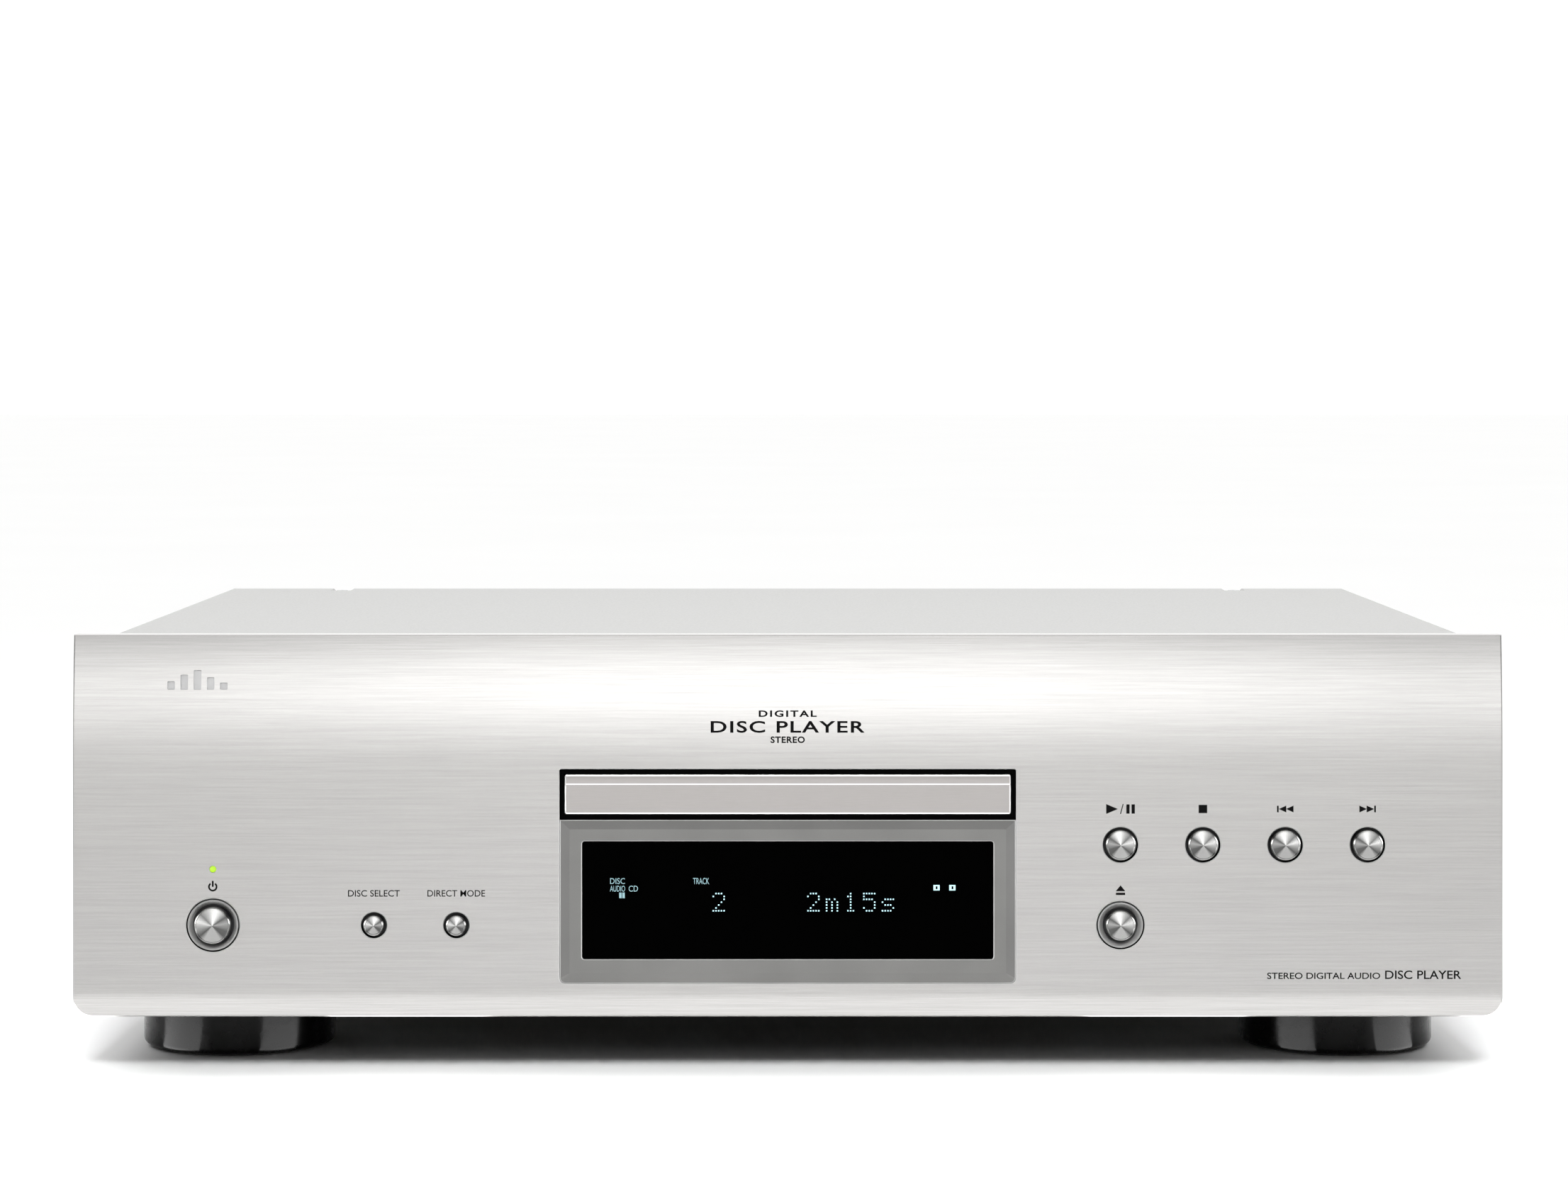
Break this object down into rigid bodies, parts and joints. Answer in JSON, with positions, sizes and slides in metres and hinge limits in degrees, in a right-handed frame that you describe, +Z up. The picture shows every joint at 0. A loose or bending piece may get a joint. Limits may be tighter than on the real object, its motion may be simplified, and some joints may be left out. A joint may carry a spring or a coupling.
{
  "type": "cd player",
  "caption": "Full-width hi-fi disc player: brushed aluminium front with a motorised disc tray over a dark display window, round push buttons and large round feet.",
  "frame": {"origin": "centre of the bounding box in X and Y, at the underside of the foot pads", "axes": "+Z up; the front panel faces -Y; +X is to the right seen from the front"},
  "size_m": [0.434, 0.329, 0.135],
  "materials": {
    "brushed_panel": "brushed",
    "cap_aluminium": "spun",
    "door_aluminium": "satin",
    "silver_plastic": "satin metallic",
    "dark_plastic": "matte",
    "gloss_black": "gloss",
    "tray_black": "fine texture",
    "white_plastic": "satin",
    "display_glass": "gloss",
    "green_light": "clear",
    "silver_paint": "satin",
    "black_paint": "matte black",
    "plated_steel": "zinc plated",
    "polished_steel": "ground",
    "gold_plate": "gold plated",
    "rubber_black": "matte",
    "felt_pad": "felt",
    "circuit_board": "solder mask",
    "motor_steel": "plated",
    "core_steel": "laminated"
  },
  "bodies": {
    "chassis": {"front_panel": "brushed_panel", "front_frame": "dark_plastic", "tray_surround": "gloss_black", "display_bezel": "silver_plastic", "display_window": "display_glass", "display_board": "circuit_board", "power_ring": "silver_plastic", "eject_ring": "silver_plastic", "power_led": "green_light", "key_boards": "circuit_board", "tact_switches": "dark_plastic", "top_cover": "silver_paint", "bottom_plate": "black_paint", "rear_panel": "silver_paint", "front_chassis": "plated_steel", "foot_front_left": "gloss_black", "foot_front_right": "gloss_black", "foot_rear_left": "gloss_black", "foot_rear_right": "gloss_black", "foot_pads": "felt_pad", "base_fixings": "plated_steel", "cover_screws": "plated_steel", "rca_shells": "gold_plate", "rca_inserts": "white_plastic", "optical_output": "dark_plastic", "remote_jacks": "dark_plastic", "ac_inlet": "dark_plastic", "loader_frame": "dark_plastic", "loader_brackets": "plated_steel", "clamp_bridge": "plated_steel", "loading_belt": "rubber_black", "loading_motor": "motor_steel", "transformers": "core_steel", "power_board": "circuit_board", "audio_board": "circuit_board", "digital_board": "circuit_board"},
    "tray": {"disc_tray": "tray_black", "tray_door": "door_aluminium"},
    "drive_gear_body": {"drive_gear": "white_plastic"},
    "belt_gear_body": {"belt_gear": "white_plastic"},
    "motor_pulley_body": {"motor_pulley": "gold_plate"},
    "cam_slider_body": {"cam_slider": "white_plastic"},
    "traverse": {"traverse_frame": "dark_plastic", "spindle_motor": "motor_steel", "guide_rods": "polished_steel", "sled_motor": "motor_steel"},
    "turntable_body": {"turntable": "dark_plastic"},
    "pickup_body": {"pickup": "dark_plastic"},
    "sled_gear_body": {"sled_gear": "white_plastic"},
    "sled_pinion_body": {"sled_pinion": "gold_plate"},
    "clamp_puck_body": {"clamp_puck": "white_plastic"},
    "optical_flap_body": {"optical_flap": "dark_plastic"},
    "power_button_body": {"power_button": "cap_aluminium"},
    "layer_button_body": {"layer_button": "cap_aluminium"},
    "direct_button_body": {"direct_button": "cap_aluminium"},
    "play_button_body": {"play_button": "cap_aluminium"},
    "stop_button_body": {"stop_button": "cap_aluminium"},
    "previous_button_body": {"previous_button": "cap_aluminium"},
    "next_button_body": {"next_button": "cap_aluminium"},
    "eject_button_body": {"eject_button": "cap_aluminium"}
  },
  "joints": [
    {"name": "power_press", "type": "slide", "parent": "chassis", "child": "power_button_body", "axis": [0, 1, 0], "range_m": [0, 0.0008], "stiffness_N_per_m": 1500},
    {"name": "layer_press", "type": "slide", "parent": "chassis", "child": "layer_button_body", "axis": [0, 1, 0], "range_m": [0, 0.0008], "stiffness_N_per_m": 1500},
    {"name": "direct_press", "type": "slide", "parent": "chassis", "child": "direct_button_body", "axis": [0, 1, 0], "range_m": [0, 0.0008], "stiffness_N_per_m": 1500},
    {"name": "play_press", "type": "slide", "parent": "chassis", "child": "play_button_body", "axis": [0, 1, 0], "range_m": [0, 0.0008], "stiffness_N_per_m": 1500},
    {"name": "stop_press", "type": "slide", "parent": "chassis", "child": "stop_button_body", "axis": [0, 1, 0], "range_m": [0, 0.0008], "stiffness_N_per_m": 1500},
    {"name": "previous_press", "type": "slide", "parent": "chassis", "child": "previous_button_body", "axis": [0, 1, 0], "range_m": [0, 0.0008], "stiffness_N_per_m": 1500},
    {"name": "next_press", "type": "slide", "parent": "chassis", "child": "next_button_body", "axis": [0, 1, 0], "range_m": [0, 0.0008], "stiffness_N_per_m": 1500},
    {"name": "eject_press", "type": "slide", "parent": "chassis", "child": "eject_button_body", "axis": [0, 1, 0], "range_m": [0, 0.0008], "stiffness_N_per_m": 1500},
    {"name": "tray_slide", "type": "slide", "parent": "chassis", "child": "tray", "axis": [0, -1, 0], "range_m": [0, 0.132]},
    {"name": "drive_gear_spin", "type": "hinge", "parent": "chassis", "child": "drive_gear_body", "pos_m": [-0.0404, -0.124, 0.082], "axis": [0, 0, 1], "range_deg": [0, 790]},
    {"name": "belt_gear_spin", "type": "hinge", "parent": "chassis", "child": "belt_gear_body", "pos_m": [-0.0236, -0.124, 0.082], "axis": [0, 0, 1], "range_deg": [-1055, 0]},
    {"name": "motor_pulley_spin", "type": "hinge", "parent": "chassis", "child": "motor_pulley_body", "pos_m": [0.0004, -0.124, 0.08], "axis": [0, 0, 1], "range_deg": [-3000, 0]},
    {"name": "traverse_tilt", "type": "hinge", "parent": "chassis", "child": "traverse", "pos_m": [0, 0.005, 0.076], "axis": [1, 0, 0], "range_deg": [0, 3.5]},
    {"name": "cam_slide", "type": "slide", "parent": "chassis", "child": "cam_slider_body", "axis": [1, 0, 0], "range_m": [0, 0.0161]},
    {"name": "turntable_spin", "type": "hinge", "parent": "traverse", "child": "turntable_body", "pos_m": [0, -0.09325, 0.085], "axis": [0, 0, 1], "continuous": true},
    {"name": "clamp_spin", "type": "hinge", "parent": "chassis", "child": "clamp_puck_body", "pos_m": [0, -0.09325, 0.095], "axis": [0, 0, 1], "continuous": true},
    {"name": "pickup_slide", "type": "slide", "parent": "traverse", "child": "pickup_body", "axis": [0, 1, 0], "range_m": [0, 0.034]},
    {"name": "sled_gear_spin", "type": "hinge", "parent": "traverse", "child": "sled_gear_body", "pos_m": [-0.0357, -0.06, 0.082], "axis": [0, 0, 1], "range_deg": [0, 466]},
    {"name": "sled_pinion_spin", "type": "hinge", "parent": "traverse", "child": "sled_pinion_body", "pos_m": [-0.04063, -0.07353, 0.082], "axis": [0, 0, 1], "range_deg": [-1395, 0]},
    {"name": "optical_flap_swing", "type": "hinge", "parent": "chassis", "child": "optical_flap_body", "pos_m": [0.084, 0.1521, 0.0779], "axis": [-1, 0, 0], "range_deg": [0, 84], "stiffness_Nm_per_rad": 0.0003}
  ],
  "couplings": [
    {"joint": "drive_gear_spin", "follows": "tray_slide", "rad_per_m": 104.17},
    {"joint": "belt_gear_spin", "follows": "tray_slide", "rad_per_m": -138.89},
    {"joint": "motor_pulley_spin", "follows": "tray_slide", "rad_per_m": -395.36},
    {"joint": "cam_slide", "follows": "traverse_tilt", "m_per_rad": 0.26192},
    {"joint": "clamp_spin", "follows": "turntable_spin", "ratio": 1},
    {"joint": "sled_gear_spin", "follows": "pickup_slide", "rad_per_m": 238.1},
    {"joint": "sled_pinion_spin", "follows": "pickup_slide", "rad_per_m": -714.29}
  ]
}
